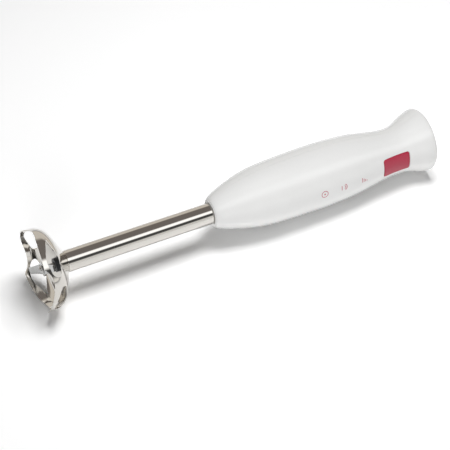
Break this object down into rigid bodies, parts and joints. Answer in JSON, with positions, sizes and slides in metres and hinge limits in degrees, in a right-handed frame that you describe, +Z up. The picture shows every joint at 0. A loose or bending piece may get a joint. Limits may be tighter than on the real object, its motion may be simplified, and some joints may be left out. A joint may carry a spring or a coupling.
{
  "type": "immersion blender",
  "caption": "Immersion hand blender: petalled steel bell with windows round a blade, steel tube, and a white flared handle with a red press button and a motor inside.",
  "frame": {"origin": "middle of the bottom face of the bounding box, on the surface that the blender lies on", "axes": "+X runs from the bell to the end of the handle, +Z points up as the blender lies on its side, and the button faces -Y"},
  "size_m": [0.3718, 0.0702, 0.0702],
  "materials": {
    "polished_steel": "polished",
    "blade_steel": "ground",
    "shaft_steel": "satin",
    "screw_steel": "plated",
    "white_plastic": "gloss",
    "red_plastic": "satin",
    "bush_bronze": "sintered",
    "carrier_plastic": "matte",
    "seal_rubber": "matte",
    "gland_rubber": "matte",
    "clamp_alloy": "cast",
    "nylon": "matte",
    "laminations": "laminated",
    "copper_wire": "enamelled",
    "brush_brass": "satin",
    "carbon": "matte",
    "board_laminate": "matte",
    "capacitor_case": "satin",
    "black_plastic": "matte",
    "plunger_plastic": "satin"
  },
  "bodies": {
    "handle": {"blade_guard": "polished_steel", "shaft_tube": "polished_steel", "front_bearing": "shaft_steel", "rear_bearing": "shaft_steel", "brush_springs": "shaft_steel", "shell_screws": "screw_steel", "motor_screws": "screw_steel", "clamp_screws": "screw_steel", "front_shell": "white_plastic", "rear_shell": "white_plastic", "end_cap": "white_plastic", "nose_collar": "white_plastic", "lower_bush": "bush_bronze", "middle_bush": "bush_bronze", "upper_bush": "bush_bronze", "bearing_carrier": "carrier_plastic", "shaft_seal": "seal_rubber", "front_mount": "seal_rubber", "rear_mount": "seal_rubber", "cord_gland": "gland_rubber", "tube_clamp": "clamp_alloy", "motor_frame_front": "clamp_alloy", "motor_frame_rear": "clamp_alloy", "cord_clamp": "nylon", "stator_core": "laminations", "field_coils": "copper_wire", "brush_holders": "brush_brass", "carbon_brushes": "carbon", "circuit_board": "board_laminate", "capacitor": "capacitor_case", "board_parts": "black_plastic", "switch_body": "black_plastic"},
    "rotor": {"drive_shaft": "shaft_steel", "blade": "blade_steel", "blade_nut": "blade_steel", "drive_coupling": "nylon", "armature_shaft": "shaft_steel", "armature_core": "laminations", "armature_windings": "copper_wire", "commutator": "copper_wire", "cooling_fan": "nylon"},
    "button": {"button_cap": "red_plastic", "switch_plunger": "plunger_plastic", "button_spring": "shaft_steel"}
  },
  "joints": [
    {"name": "rotor_spin", "type": "hinge", "parent": "handle", "child": "rotor", "pos_m": [-0.18552, 0, 0.03515], "axis": [0.9999, 0, -0.017], "continuous": true},
    {"name": "button_press", "type": "slide", "parent": "handle", "child": "button", "axis": [-0.0024, 0.9903, -0.1392], "range_m": [0, 0.002], "stiffness_N_per_m": 600, "springref_m": -0.002, "deforming": ["button_spring"]}
  ]
}
